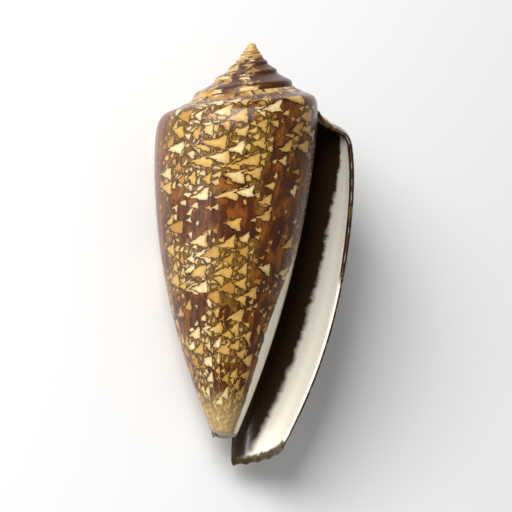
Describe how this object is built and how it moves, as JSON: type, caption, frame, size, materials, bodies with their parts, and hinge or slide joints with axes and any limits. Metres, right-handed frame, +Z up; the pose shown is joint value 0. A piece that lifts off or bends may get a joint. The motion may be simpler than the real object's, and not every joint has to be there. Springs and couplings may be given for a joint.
{
  "type": "cone shell",
  "caption": "Slender cone snail shell with a stepped pointed spire, a long narrow aperture and a tented brown pattern, lying on its back.",
  "frame": {"origin": "centre of the bounding box's bottom face, on the surface that the shell lies on", "axes": "+Z up; +Y along the shell's length towards the apex; +X towards the side of the outer lip"},
  "size_m": [0.0408, 0.089, 0.0382],
  "materials": {
    "shell": "glossy porcelain-like shell, cream and tan with brown tents"
  },
  "bodies": {
    "root": {"shell": "shell"}
  },
  "joints": []
}
